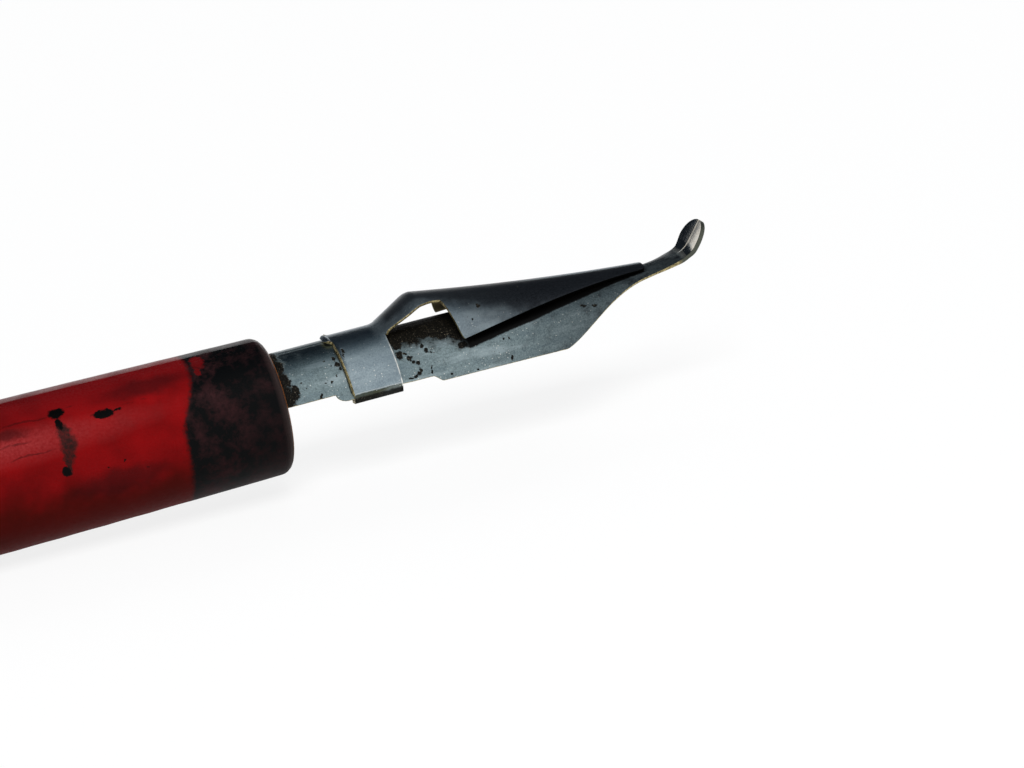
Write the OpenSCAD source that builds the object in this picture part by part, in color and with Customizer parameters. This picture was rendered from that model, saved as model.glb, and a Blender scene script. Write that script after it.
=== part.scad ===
// A dip pen for lettering: a turned plastic handle with a steel nib socket in its nose,
// a sheet steel nib with an upturned round writing disc, and a spring steel ink reservoir
// clasped round the nib. X runs along the pen towards the nib, Z is up, and the origin is
// the centre of the handle's flat tail end. Distances along the nib are taken from the nose face.

/* [Handle] */
// Length of the handle, nose face to tail
handle_len = 158; // [130:1:180]
// Diameter of the handle at its nose
nose_d = 11.3; // [10.6:0.1:12.5]
// Rounding of the nose edge
nose_round = 1; // [0.3:0.1:1.1]
// Diameter of the handle where it is fattest
belly_d = 12.1; // [11.4:0.1:14]
// Distance from the nose face to the fattest place
belly_at = 38; // [20:1:60]
// Diameter of the straight stem at the tail
stem_d = 6.4; // [5:0.1:9]
// Length of the straight stem at the tail
stem_len = 14; // [8:1:25]
// Rounding of the tail end
tail_round = 1.8; // [0.5:0.1:2.4]

/* [Socket in the nose] */
// Wall of the steel sleeve
sleeve_wall = 0.3; // [0.2:0.05:0.5]
// Distance from the nose face back to the sleeve's front edge
sleeve_set = 0.3; // [0.1:0.1:1]
// Number of spring leaves
leaf_count = 4; // [3:1:6]
// Part of the circle that the leaves fill
leaf_fill = 0.7; // [0.4:0.05:0.85]
// Sheet thickness of the grip spring
leaf_t = 0.3; // [0.2:0.05:0.4]
// Length of the grip spring's closed collar
collar_len = 3; // [2:0.5:4]
// Gap between the seated shank and the collar
shank_rest = 0.4; // [0.3:0.1:2]
// Hole through the collar's closed end
collar_hole_d = 2.4; // [1:0.1:4]

/* [Nib] */
// Outer radius of the nib's shank
shank_r = 4.05; // [3.8:0.05:4.3]
// Sheet thickness of the nib
nib_t = 0.25; // [0.2:0.01:0.35]
// Part of a turn that the shank bends round, in degrees
shank_span = 155; // [130:1:165]
// Part of a turn that the body bends round just ahead of the clasp, in degrees
front_span = 159; // [145:1:165]
// Length of shank inside the handle
shank_in = 8.2; // [7:0.1:9]
// Rounding of the shank's rear corners
shank_corner = 1.4; // [0.5:0.1:2]
// Depth of the bump that stops the reservoir sliding back
bump_drop = 0.7; // [0.4:0.05:0.8]
// Length of that bump along the pen
bump_len = 1.4; // [1:0.1:2]
// Fall of the nib's ridge between shank and body
body_drop = 0.4; // [0:0.02:0.6]
// Distance from the nose face to the middle of the step where the flanks begin
flank_at = 12.75; // [12:0.05:13.6]
// Length of that step
flank_step = 0.9; // [0.6:0.1:2]
// Part of a turn that the body bends round, in degrees
flank_span = 175; // [165:1:190]
// Distance from the nose face to where the flanks sweep in
taper_at = 23.8; // [22:0.1:26]
// Distance from the nose face to the neck behind the disc
neck_at = 33.4; // [32.4:0.1:36]
// Bend radius of the neck's channel
neck_r = 2.2; // [1.6:0.1:2.8]
// Half width of the neck, measured round the channel
neck_half = 1.45; // [1.1:0.05:1.7]
// Sag of the nib's ridge under the hood
ridge_dip = 0.2; // [0:0.02:0.3]
// Distance from the nose face to where the neck starts to rise
rise_at = 32; // [30:0.1:32.4]
// Rise of the neck, in degrees
neck_rise = 5.5; // [1:0.5:8]
// Distance from the nose face to where the channel starts to flatten
flatten_at = 32.6; // [32.4:0.1:34]
// Distance from the nose face to the upward bend
bend_at = 35.2; // [34.4:0.1:36]
// Radius of that bend
bend_r = 2; // [1.8:0.1:4]
// Upward tilt of the writing disc
disc_tilt = 53; // [20:1:60]
// Diameter of the writing disc
disc_d = 3.65; // [3.2:0.05:5]
// Thickness of the writing disc
disc_t = 0.36; // [0.25:0.01:0.5]
// Radius of the shallow dish in the disc's upper face
dish_r = 14; // [8:1:40]
// Width of the ink slit
slit_w = 0.1; // [0.06:0.01:0.2]
// Distance from the nose face to the slit's rear end
slit_at = 20; // [17:0.5:24]

/* [Reservoir] */
// Sheet thickness of the reservoir
res_t = 0.24; // [0.18:0.01:0.3]
// Distance from the nose face to the clasp's rear edge
clasp_at = 5.6; // [4.5:0.1:6.2]
// Length of the clasp along the pen
clasp_len = 4.1; // [3.5:0.1:4.6]
// Angle from the ridge at which the clasp folds in, in degrees
fold_angle = 81; // [79:0.5:85]
// Drop of the clasp's slanting band below the fold
band_drop = 0.92; // [0.6:0.02:1.1]
// Inward slope of that band, in degrees from upright
band_slope = 18; // [10:1:30]
// Length of the lip that turns in under the nib's edge
lip_len = 0.6; // [0.3:0.05:1]
// Backward lean of the clasp's rear edge above the fold, in degrees
rear_lean = 4.5; // [0:0.5:6]
// Backward lean of the clasp's front edge above the fold, in degrees
front_lean = 2.5; // [0:0.5:4]
// Length of the arched tab on the clasp's rear edge
tab_len = 0.65; // [0.3:0.05:1]
// Width of that tab
tab_w = 1.7; // [1:0.1:3]
// Rise of the tab's crown above the clasp
tab_rise = 0.15; // [0.05:0.05:0.3]
// Distance behind the clasp's front edge where the springy arm starts to rise
arm_lead = 0.8; // [0.4:0.1:1]
// Width of the arm where it leaves the clasp, measured round it
arm_w = 3.4; // [2.4:0.1:4]
// Width of the arm where it is widest
arm_wide_w = 4.05; // [3:0.05:5]
// Distance from the nose face to that place
arm_wide_at = 12.2; // [11:0.1:12.8]
// Width of the arm at its waist behind the hood
waist_w = 3.05; // [2.4:0.05:4]
// Distance from the nose face to that waist
waist_at = 14.1; // [13.4:0.1:14.4]
// Height of the arm's crest above the pen's axis
crest_z = 6.2; // [5.6:0.05:6.8]
// Distance from the nose face to the crest
crest_at = 12.8; // [12.4:0.1:14]
// Distance from the nose face to the middle of the wings' rear edge
wing_at = 15; // [14.8:0.1:16]
// Length along the pen over which that edge slants forward
wing_slant = 1; // [0.6:0.1:1.2]
// Distance from the nose face to the hood's front end
hood_end = 33.1; // [31.5:0.1:33.5]
// Bend radius of the hood at the wings
wing_r = 4.25; // [3.8:0.05:4.8]
// Half width of the hood at the wings, measured round it
wing_half = 5.5; // [4.5:0.05:6]
// Sag of the hood's ridge below a straight line, at the middle
hood_sag = 0.24; // [0:0.02:0.3]
// Half width of the hood at its front end, measured round it
hood_end_half = 0.95; // [0.4:0.05:1.1]

/* [Fits] */
// Radial running gap between shank and sleeve, and between shank and leaves
slide_gap = 0.05; // [0.03:0.01:0.08]
// Gap between parts that are pressed or clasped together
seat_gap = 0.02; // [0.01:0.01:0.05]

/* [Hidden] */
$fn = 96;

sleeve_r = shank_r + slide_gap;
socket_r = sleeve_r + sleeve_wall + seat_gap;
spring_r = shank_r - nib_t - slide_gap;
collar_r = sleeve_r - seat_gap;
collar_front = shank_in + shank_rest;
collar_end = collar_front + collar_len;
socket_depth = collar_end + seat_gap;
leaf_span = 360 / leaf_count * leaf_fill;
leaf_mouth = 1;
leaf_lead = 1.6;
leaf_flat = 1.2;
leaf_round = 0.6;
waist_share = 0.6;
leaf_dip = 0.3;
mouth_dip = 0.55;

ridge_z = shank_r - body_drop;
clasp_end = clasp_at + clasp_len;
seam_in = 0.4;
seam_at = clasp_at + seam_in;
drop_past = 1.2;
drop_end = clasp_end + drop_past;
root_len = 0.3;
bump_share = 0.75;
root_inset = 0.02;
rise_r = 8;
rise_end = rise_at + arc_len(rise_r, neck_rise);
bend_end = bend_at + arc_len(bend_r, disc_tilt - neck_rise);
disc_r = disc_d / 2;
disc_lead = 0.25;
disc_mid = bend_end + disc_lead;
disc_cut = 0.02;
fillet = 0.1;
width_shape = [1.3, 1.95];
bend_shape = [1.4, 1.2];

clasp_r = shank_r + seat_gap;
res_top = clasp_r + res_t;
fold_z = clasp_r * cos(fold_angle);
band_in = band_drop * tan(band_slope);
arm_at = clasp_end - arm_lead;
wing_from = wing_at - wing_slant / 2;
wing_to = wing_at + wing_slant / 2;
flank_from = flank_at - flank_step / 2;
flank_to = flank_at + flank_step / 2;
ramp_share = 0.2;
wing_shape = 1.33;
hood_z = nib_path(hood_end)[1] + seat_gap + res_t;
hood_end_r = nib_bend_radius(hood_end) + seat_gap + res_t;
big = 60;
over = 1;
tiny = 0.01;

rear_steps = 8;
step_steps = 7;
flank_steps = 9;
neck_steps = 18;
disc_steps = 18;
arm_steps = 16;
wing_steps = 9;
hood_steps = 23;
arc_steps = 18;
belly_steps = 10;
tail_steps = 26;

function mix(a, b, u) = a + (b - a) * u;
function clamp01(u) = min(1, max(0, u));
function ease(u) = let (v = clamp01(u)) v * v * (3 - 2 * v);
function sweep(u, shape) = pow(1 - pow(clamp01(u), shape[0]), shape[1]);
function degrees(rad) = rad * 180 / PI;
function arc_len(r, angle) = r * angle * PI / 180;
function part_of(s, from, to) = clamp01((s - from) / (to - from));
function spread(from, to, n) = [for (i = [1:n]) mix(from, to, i / n)];

// Point on a bent sheet: u is the distance round the bend from the ridge, d the depth below the outer face.
// A station is [x, ridge z, tilt, half width, curvature, thickness].
function bent_y(u, c, d) = abs(c) < 0.001 ? u : sin(degrees(u * c)) / c - d * sin(degrees(u * c));
function bent_z(u, c, d) = abs(c) < 0.001 ? -d : (cos(degrees(u * c)) - 1) / c - d * cos(degrees(u * c));
function sheet_point(s, f, deep) =
    let (
        u = s[3] * f,
        d = deep ? s[5] : 0,
        y = bent_y(u, s[4], d),
        h = bent_z(u, s[4], d)
    )
    [s[0] - h * sin(s[2]), y, s[1] + h * cos(s[2])];

// A profile drawn in the side view, as thick as the widest sheet.
module from_side(profile) {
    rotate([90, 0, 0])
        linear_extrude(height = 2 * (res_top + over), center = true)
            polygon(profile);
}

// The stations with which a sheet starts inside the wall that it grows from, a little thinner than that wall.
function root(s, dx) = [s[0] + dx, s[1] - root_inset, 0, s[3] - root_inset, s[4], s[5] - 2 * root_inset];

// A closed sheet through a list of stations, as triangles.
module bent_sheet(stations) {
    n = arc_steps;
    m = len(stations) - 1;
    row = n + 1;
    under = row * (m + 1);
    fracs = [for (j = [0:n]) 2 * j / n - 1];
    points = concat(
        [for (s = stations, f = fracs) sheet_point(s, f, false)],
        [for (s = stations, f = fracs) sheet_point(s, f, true)]
    );
    skin = [for (i = [0:m - 1], j = [0:n - 1]) let (a = i * row + j) each [
        [a, a + 1, a + row + 1],
        [a, a + row + 1, a + row],
        [under + a, under + a + row + 1, under + a + 1],
        [under + a, under + a + row, under + a + row + 1]
    ]];
    long_edges = [for (i = [0:m - 1]) let (a = i * row, b = a + n) each [
        [a, a + row, under + a + row],
        [a, under + a + row, under + a],
        [b, under + b + row, b + row],
        [b, under + b, under + b + row]
    ]];
    ends = [for (j = [0:n - 1]) let (b = m * row + j) each [
        [j, under + j, under + j + 1],
        [j, under + j + 1, j + 1],
        [b, b + 1, under + b + 1],
        [b, under + b + 1, under + b]
    ]];
    polyhedron(points = points, faces = concat(skin, long_edges, ends), convexity = 8);
}

// Puts what is drawn from the nose face at its place ahead of the tail.
module from_nose() {
    translate([handle_len, 0, 0])
        children();
}

// A profile of [distance behind the nose face, radius] points, turned about the pen's axis.
module turned(profile, span = 360) {
    rotate([0, -90, 0])
        rotate_extrude(angle = span)
            polygon([for (p = profile) [p[1], p[0]]]);
}

function quarter(x, r, radius, start) =
    [for (i = [0:6]) let (a = start + i * 15) [x - radius * cos(a), r + radius * sin(a)]];

module handle() {
    nose_r = nose_d / 2;
    belly_r = belly_d / 2;
    stem_r = stem_d / 2;
    stem_at = handle_len - stem_len;
    swell = [for (i = [1:belly_steps]) let (u = i / belly_steps)
        [mix(nose_round, belly_at, u), mix(nose_r, belly_r, sin(90 * u))]];
    taper = [for (i = [1:tail_steps]) let (u = i / tail_steps)
        [mix(belly_at, stem_at, u), mix(belly_r, stem_r, (1 - cos(180 * u)) / 2)]];
    outline = concat(
        [[0, 0]],
        quarter(nose_round, nose_r - nose_round, nose_round, 0),
        swell,
        taper,
        quarter(handle_len - tail_round, stem_r - tail_round, tail_round, 90),
        [[handle_len, 0]]
    );
    color("firebrick")
        from_nose() difference() {
            turned(outline);
            turned([[-over, 0], [-over, socket_r], [socket_depth, socket_r], [socket_depth + 2 * over, 0]]);
        }
}

module socket_sleeve() {
    lip = sleeve_wall / 2;
    color("gainsboro")
        from_nose() turned([
            [sleeve_set, sleeve_r + lip],
            [sleeve_set + lip, sleeve_r],
            [socket_depth - seat_gap, sleeve_r],
            [socket_depth - seat_gap, sleeve_r + sleeve_wall],
            [sleeve_set, sleeve_r + sleeve_wall]
        ]);
}

// A closed cup at the back, and leaves that spring out against the inside of the shank.
module grip_spring() {
    mouth = sleeve_set + leaf_mouth;
    swell_at = mouth + leaf_lead;
    waist = spring_r - leaf_dip;
    leaf = [
        [mouth, spring_r - mouth_dip],
        [swell_at - leaf_round, spring_r - leaf_t / 4],
        [swell_at, spring_r],
        [swell_at + leaf_flat, spring_r],
        [mix(swell_at, collar_front, waist_share), waist],
        [collar_front, waist],
        [collar_front + leaf_t, spring_r - slide_gap]
    ];
    inside = [for (i = [len(leaf) - 1:-1:0]) [leaf[i][0] + (i > 4 ? leaf_t : 0), leaf[i][1] - leaf_t]];
    color("silver") from_nose() {
        difference() {
            turned([
                [collar_front, waist - leaf_t],
                [collar_front, collar_r - leaf_t],
                [collar_front + leaf_t, collar_r],
                [collar_end, collar_r],
                [collar_end, 0],
                [collar_end - leaf_t, 0],
                [collar_end - leaf_t, collar_r - leaf_t],
                [collar_front + leaf_t * 2, collar_r - leaf_t],
                [collar_front + leaf_t, waist - leaf_t]
            ]);
            rotate([0, -90, 0])
                cylinder(d = collar_hole_d, h = socket_depth + over);
        }
        for (i = [0:leaf_count - 1])
            rotate([360 / leaf_count * i - leaf_span / 2, 0, 0])
                turned(concat(leaf, inside), leaf_span);
    }
}

function nib_width(x) =
    let (
        front = mix(shank_span, front_span, ease(part_of(x, seam_at, clasp_end))),
        span = mix(front, flank_span, ease(part_of(x, flank_from, flank_to)))
    )
    mix(neck_half, arc_len(shank_r, span / 2), sweep(part_of(x, taper_at, neck_at), width_shape));

function nib_bend_radius(x) =
    mix(neck_r, shank_r, sweep(part_of(x, taper_at, neck_at), bend_shape));

function disc_width(s) =
    let (off = s - disc_mid)
    abs(off) >= disc_r ? 0 : sqrt(disc_r * disc_r - off * off);

// Half width along the neck and disc, with a small fillet where the two outlines meet.
function tip_width(s) =
    let (a = nib_width(s), b = disc_width(s), gap = max(0, fillet - abs(a - b)))
    s > disc_mid ? b : max(a, b) + gap * gap / (4 * fillet);

// The nib's ridge seen from the side: a slight sag, a gentle rise along the neck, then the bend up to the disc.
function nib_path(s) =
    let (
        a = neck_rise * part_of(s, rise_at, rise_end),
        b = mix(neck_rise, disc_tilt, part_of(s, bend_at, bend_end)),
        level = min(s, rise_at),
        along = max(0, min(s, bend_at) - rise_end),
        ahead = max(0, s - bend_end)
    )
    [
        level + rise_r * sin(a) + along * cos(neck_rise)
            + bend_r * (sin(b) - sin(neck_rise)) + ahead * cos(disc_tilt),
        ridge_z + body_drop * (1 - ease(part_of(level, clasp_at, drop_end)))
            - ridge_dip * ease(part_of(level, drop_end, rise_at))
            + rise_r * (1 - cos(a)) + along * sin(neck_rise)
            + bend_r * (cos(neck_rise) - cos(b)) + ahead * sin(disc_tilt),
        s < bend_at ? a : b
    ];

function nib_station(s) =
    let (
        p = nib_path(s),
        u = ease(part_of(s, flatten_at, disc_mid)),
        curve = mix(1 / nib_bend_radius(s), -1 / dish_r, u)
    )
    [p[0], p[1], p[2], tip_width(s), curve, mix(nib_t, disc_t, u)];

module shank() {
    edge_z = shank_r * cos(shank_span / 2);
    stop = clasp_at - seat_gap;
    bump_round = bump_len * bump_share;
    bump_at = stop - bump_len;
    bump = [for (a = [0:10:90]) [bump_at + bump_round * (1 - sin(a)), edge_z - bump_drop * cos(a)]];
    difference() {
        intersection() {
            translate([-shank_in, 0, 0])
                rotate([0, 90, 0])
                    cylinder(r = shank_r, h = shank_in + seam_at);
            union() {
                from_side([
                    [-shank_in - over, shank_r + over],
                    [seam_at, shank_r + over],
                    [seam_at, edge_z],
                    [-shank_in - over, edge_z]
                ]);
                from_side(concat(
                    [[stop, edge_z + over], [stop, edge_z - bump_drop]],
                    bump,
                    [[bump_at, edge_z + over]]
                ));
            }
        }
        translate([-shank_in - over, 0, 0])
            rotate([0, 90, 0])
                cylinder(r = shank_r - nib_t, h = shank_in + seam_at + 2 * over);
        translate([-shank_in, 0, edge_z])
            difference() {
                translate([-over, -shank_r - over, -over])
                    cube([shank_corner + over, 2 * (shank_r + over), shank_corner + over]);
                translate([shank_corner, 0, shank_corner])
                    rotate([90, 0, 0])
                        cylinder(r = shank_corner, h = 2 * (shank_r + 2 * over), center = true);
            }
    }
}

module nib() {
    disc_end = disc_mid + disc_r - disc_cut;
    stops = concat(
        spread(seam_at, flank_from, rear_steps),
        spread(flank_from, flank_to, step_steps),
        spread(flank_to, taper_at, flank_steps),
        spread(taper_at, bend_at, neck_steps),
        [for (i = [1:disc_steps]) let (u = i / disc_steps) mix(bend_at, disc_end, 1 - pow(1 - u, 1.5))]
    );
    color("lightslategray")
        from_nose() difference() {
            union() {
                shank();
                bent_sheet(concat(
                    [root(nib_station(seam_at), -root_len), root(nib_station(seam_at), 0)],
                    [for (s = stops) nib_station(s)]
                ));
            }
            translate([slit_at, -slit_w / 2, 0])
                cube([big, slit_w, big]);
        }
}

// A straight ramp from 0 to 1 with a rounded foot and head.
function ramp(u, b) =
    let (v = clamp01(u))
    v < b ? v * v / (2 * b * (1 - b))
    : v > 1 - b ? 1 - (1 - v) * (1 - v) / (2 * b * (1 - b))
    : (v - b / 2) / (1 - b);

function hood_ridge(x) =
    let (u = part_of(x, crest_at, hood_end))
    x < crest_at
        ? mix(res_top, crest_z, ramp(part_of(x, arm_at, crest_at), ramp_share))
        : mix(crest_z, hood_z, u) - 4 * hood_sag * u * (1 - u);

function hood_station(x) =
    let (
        u = part_of(x, wing_at, hood_end),
        swell = mix(arm_w, arm_wide_w, ease(part_of(x, clasp_end, arm_wide_at))),
        arm = mix(swell, waist_w, ease(part_of(x, arm_wide_at, waist_at))) / 2,
        wing = mix(hood_end_half, wing_half, pow(1 - u, wing_shape)),
        half = mix(arm, wing, ease(part_of(x, wing_from, wing_to))),
        slope = atan((hood_ridge(x + tiny) - hood_ridge(x - tiny)) / (2 * tiny))
    )
    [x, hood_ridge(x), 0, half, 1 / mix(wing_r, hood_end_r, u), res_t / cos(slope)];

// The clasp's section with the pen's axis at the origin: an arc over the nib, then a slanting band and a lip.
module clasp_section() {
    edge_y = clasp_r * sin(fold_angle);
    intersection() {
        difference() {
            circle(r = res_top);
            circle(r = clasp_r);
        }
        polygon([
            [0, 0],
            [big * sin(fold_angle), big * cos(fold_angle)],
            [big, big],
            [-big, big],
            [-big * sin(fold_angle), big * cos(fold_angle)]
        ]);
    }
    for (side = [0, 1])
        mirror([side, 0])
            polygon([
                [edge_y, fold_z],
                [res_top * sin(fold_angle), res_top * cos(fold_angle)],
                [edge_y + res_t - band_in, fold_z - band_drop],
                [edge_y + res_t - band_in - lip_len - res_t, fold_z - band_drop - res_t / 2],
                [edge_y - band_in - lip_len, fold_z - band_drop + res_t / 2],
                [edge_y - band_in, fold_z - band_drop + res_t]
            ]);
}

// The clasp is straight below the fold, and its two edges lean back above it.
module clasp() {
    low = fold_z - band_drop - over;
    high = res_top + over;
    translate([clasp_at, 0, 0])
        intersection() {
            translate([-over, 0, 0])
                rotate([90, 0, 90])
                    linear_extrude(height = clasp_len + 2 * over)
                        clasp_section();
            from_side([
                [0, low],
                [clasp_len, low],
                [clasp_len, fold_z],
                [clasp_len - (high - fold_z) * tan(front_lean), high],
                [-(high - fold_z) * tan(rear_lean), high],
                [0, fold_z]
            ]);
        }
}

module ink_reservoir() {
    tab_at = clasp_at - (res_top - fold_z) * tan(rear_lean);
    tab = [for (i = [0:4]) let (u = i / 5)
        [tab_at - tab_len * (1 - u), res_top + tab_rise * sin(180 * u), 0, tab_w / 2, 1 / res_top, res_t]];
    tab_foot = [tab_at + root_inset, res_top, 0, tab_w / 2, 1 / res_top, res_t];
    arm_foot = [arm_at, res_top, 0, arm_w / 2, 1 / res_top, res_t];
    stops = concat(
        spread(arm_at, wing_from, arm_steps),
        spread(wing_from, wing_to, wing_steps),
        spread(wing_to, hood_end, hood_steps)
    );
    color("slategray") from_nose() {
        clasp();
        bent_sheet(concat(tab, [root(tab_foot, 0), root(tab_foot, root_len)]));
        bent_sheet(concat(
            [root(arm_foot, -root_len), root(arm_foot, 0)],
            [for (x = stops) hood_station(x)]
        ));
    }
}

handle();
socket_sleeve();
grip_spring();
nib();
ink_reservoir();
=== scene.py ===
from math import acos, atan, cos, pi, radians, sin, sqrt, tan

import bpy
import bmesh
from mathutils import Matrix, Vector


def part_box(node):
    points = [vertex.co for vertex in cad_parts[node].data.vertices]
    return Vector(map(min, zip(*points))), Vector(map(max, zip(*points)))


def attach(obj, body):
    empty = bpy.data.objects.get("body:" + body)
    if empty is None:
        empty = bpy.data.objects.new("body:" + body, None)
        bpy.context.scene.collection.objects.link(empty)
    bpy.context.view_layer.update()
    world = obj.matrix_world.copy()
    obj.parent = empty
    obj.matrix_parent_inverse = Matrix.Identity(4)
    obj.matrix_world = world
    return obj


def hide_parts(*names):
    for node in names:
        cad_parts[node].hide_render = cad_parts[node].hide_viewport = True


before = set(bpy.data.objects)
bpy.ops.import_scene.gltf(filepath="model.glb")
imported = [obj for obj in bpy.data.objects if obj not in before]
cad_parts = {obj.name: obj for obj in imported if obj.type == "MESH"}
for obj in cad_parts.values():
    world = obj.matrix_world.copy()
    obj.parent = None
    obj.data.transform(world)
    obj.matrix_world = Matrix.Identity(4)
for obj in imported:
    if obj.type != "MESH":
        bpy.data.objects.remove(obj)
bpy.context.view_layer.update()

# The view: the pen lies level in its own frame, so the camera carries the slope that the
# pen has in the picture. It looks at the near side of the nib from a third of a metre away.
scene = bpy.context.scene
nose = Vector((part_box("handle")[1].x, 0, 0))
picture_w, picture_h, focal_px, sensor_mm = 1024, 768, 4000, 36
nose_px, camera_away = (275.2, 404.1), 0.3226
azimuth, elevation, roll = radians(12), radians(20.5), radians(10.6)
away = Vector((-sin(azimuth) * cos(elevation), -cos(azimuth) * cos(elevation), sin(elevation)))
right = Vector((cos(azimuth), -sin(azimuth), 0))
up = away.cross(right)
rolled_right, rolled_up = cos(roll) * right - sin(roll) * up, sin(roll) * right + cos(roll) * up
rolled = Matrix((rolled_right, rolled_up, away)).transposed()
nose_in_picture = Vector(((nose_px[0] - picture_w / 2) / focal_px,
                          (picture_h / 2 - nose_px[1]) / focal_px, -1))
turn = Vector((0, 0, -1)).rotation_difference(nose_in_picture).to_matrix()
lens = bpy.data.cameras.new("view")
lens.sensor_width = sensor_mm
lens.lens = sensor_mm * focal_px / picture_w
lens.clip_start = 0.01
lens.clip_end = 20
camera = bpy.data.objects.new("view", lens)
camera_place = Matrix.Translation(nose + away * camera_away)
camera.matrix_world = camera_place @ (rolled @ turn.transposed()).to_4x4()
scene.collection.objects.link(camera)
scene.camera = camera
scene.view_settings.view_transform = "Standard"


# The room: a white paper floor that the pen lies on and a white surround, one large soft lamp
# above the camera and a weaker one behind, and a dark cloth hung behind and over the pen.
def add(tree, kind, inputs=None, **settings):
    """Adds a shader node with its settings; an input takes a value, a node or a node's output.
    Inputs 1 to 4 of a MapRange are where it starts and ends, and what it gives at both."""
    made = tree.nodes.new("ShaderNode" + kind)
    for name, value in settings.items():
        setattr(made, name, value)
    for name, value in (inputs or {}).items():
        if isinstance(value, bpy.types.Node):
            value = value.outputs[0]
        if isinstance(value, bpy.types.NodeSocket):
            tree.links.new(value, made.inputs[name])
        else:
            made.inputs[name].default_value = value
    return made


def colour(hex_code):
    """An sRGB hex value as the linear colour that a shader socket takes."""
    parts = [int(hex_code[i:i + 2], 16) / 255 for i in (1, 3, 5)]
    return [c / 12.92 if c <= 0.04045 else ((c + 0.055) / 1.055) ** 2.4 for c in parts] + [1]


def bare(owner):
    """The empty node tree of a new material or world, with its output."""
    owner.use_nodes = True
    tree = owner.node_tree
    tree.nodes.clear()
    kind = "OutputWorld" if isinstance(owner, bpy.types.World) else "OutputMaterial"
    return tree, add(tree, kind)


def ramp_of(tree, value, stops):
    """A colour ramp over a value from 0 to 1, through stops of place and colour.
    A stop's colour is a hex code or a plain number."""
    made = add(tree, "ValToRGB", {"Fac": value})
    parts = made.color_ramp.elements
    while len(parts) < len(stops):
        parts.new(0.5)
    for part, (place, code) in zip(parts, stops):
        part.position = place
        part.color = colour(code) if isinstance(code, str) else (code, code, code, 1)
    return made


def seen_directly(tree):
    """1 for camera, mirror and glass rays, 0 for the rays that carry soft light."""
    path = add(tree, "LightPath")
    glossy, through = path.outputs["Is Glossy Ray"], path.outputs["Is Transmission Ray"]
    mirrored = add(tree, "Math", {0: glossy, 1: through}, operation="MAXIMUM")
    return add(tree, "Math", {0: path.outputs["Is Camera Ray"], 1: mirrored}, operation="MAXIMUM")


surround = bpy.data.worlds.new("white_surround")
scene.world = surround
tree, out = bare(surround)
soft_light = add(tree, "Background", {"Color": colour("#eef2f7"), "Strength": 0.3})
plain_white = add(tree, "Background", {"Color": colour("#ffffff"), "Strength": 1})
both = add(tree, "MixShader", {0: seen_directly(tree), 1: soft_light, 2: plain_white})
tree.links.new(both.outputs[0], out.inputs["Surface"])

# The pen rests on its belly and its tail, so the floor leans a little against the pen's axis.
belly_r, tail_r, belly_to_tail, belly_to_nose = 0.00605, 0.0032, 0.120, 0.038
lean = atan((belly_r - tail_r) / belly_to_tail)
floor_half, floor_gap = 3, 0.00002
corner_signs = ((-1, -1), (1, -1), (1, 1), (-1, 1))
floor_corners = [(x * floor_half, y * floor_half, 0) for x, y in corner_signs]
floor_mesh = bpy.data.meshes.new("floor")
floor_mesh.from_pydata(floor_corners, [], [(0, 1, 2, 3)])
floor = bpy.data.objects.new("floor", floor_mesh)
floor.location = (nose.x - belly_to_nose, 0, -belly_r - floor_gap)
floor.rotation_euler = (0, lean, 0)
scene.collection.objects.link(floor)
paper = bpy.data.materials.new("white_paper")
tree, out = bare(paper)
direct = seen_directly(tree)
# Its glow keeps the paper white where it is seen, and its matt share keeps the pen's shadow.
glow_share = 0.84
tone = add(tree, "MixRGB", {"Fac": direct, "Color1": colour("#a8a8a8"),
                            "Color2": colour("#ffffff")})
matt = add(tree, "BsdfDiffuse", {"Color": tone})
glow = add(tree, "Emission", {"Color": colour("#ffffff"), "Strength": 1})
share = add(tree, "Math", {0: direct, 1: glow_share}, operation="MULTIPLY")
both = add(tree, "MixShader", {0: share, 1: matt, 2: glow})
tree.links.new(both.outputs[0], out.inputs["Surface"])
floor_mesh.materials.append(paper)


def lamp(name, place, aim, size, watts):
    """A white lamp with a square face, turned towards what it lights."""
    light = bpy.data.lights.new(name, "AREA")
    light.shape = "RECTANGLE"
    light.size, light.size_y = size
    light.energy = watts
    lamp_object = bpy.data.objects.new(name, light)
    lamp_object.location = place
    lamp_object.rotation_euler = (Vector(aim) - Vector(place)).to_track_quat("-Z", "Y").to_euler()
    scene.collection.objects.link(lamp_object)
    return lamp_object


main_lamp = lamp("main_lamp", (0.08, -0.52, 0.84), nose, (0.5, 0.5), 7.5)
main_lamp.visible_glossy = False
back_lamp = lamp("back_lamp", (0.5, 0.75, 0.6), nose, (0.5, 0.5), 2.5)
back_lamp.visible_glossy = False

# The cloth fades from white to near black above the horizon, and back to white over the camera.
# It is seen only in mirror reflections, and casts neither light nor shadow.
cloth_r, cloth_from, cloth_to, strips, cloth_ends = 0.9, radians(8), radians(120), 24, (-1.6, 1.9)
turns = [cloth_from + (cloth_to - cloth_from) * i / strips for i in range(strips + 1)]
cloth_mesh = bpy.data.meshes.new("dark_cloth")
cloth_mesh.from_pydata(
    [(x, cloth_r * cos(a), cloth_r * sin(a)) for x in cloth_ends for a in turns],
    [], [(i, i + 1, i + strips + 2, i + strips + 1) for i in range(strips)])
cloth = bpy.data.objects.new("dark_cloth", cloth_mesh)
cloth.visible_camera = False
cloth.visible_shadow = False
cloth.visible_diffuse = False
scene.collection.objects.link(cloth)
felt = bpy.data.materials.new("dark_blue_felt")
tree, out = bare(felt)
place = add(tree, "SeparateXYZ", {0: add(tree, "TexCoord").outputs["Object"]})
angle = add(tree, "Math", {0: place.outputs["Z"], 1: place.outputs["Y"]}, operation="ARCTAN2")
share = add(tree, "MapRange", {"Value": angle, 1: cloth_from, 2: cloth_to, 3: 0, 4: 1})
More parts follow.
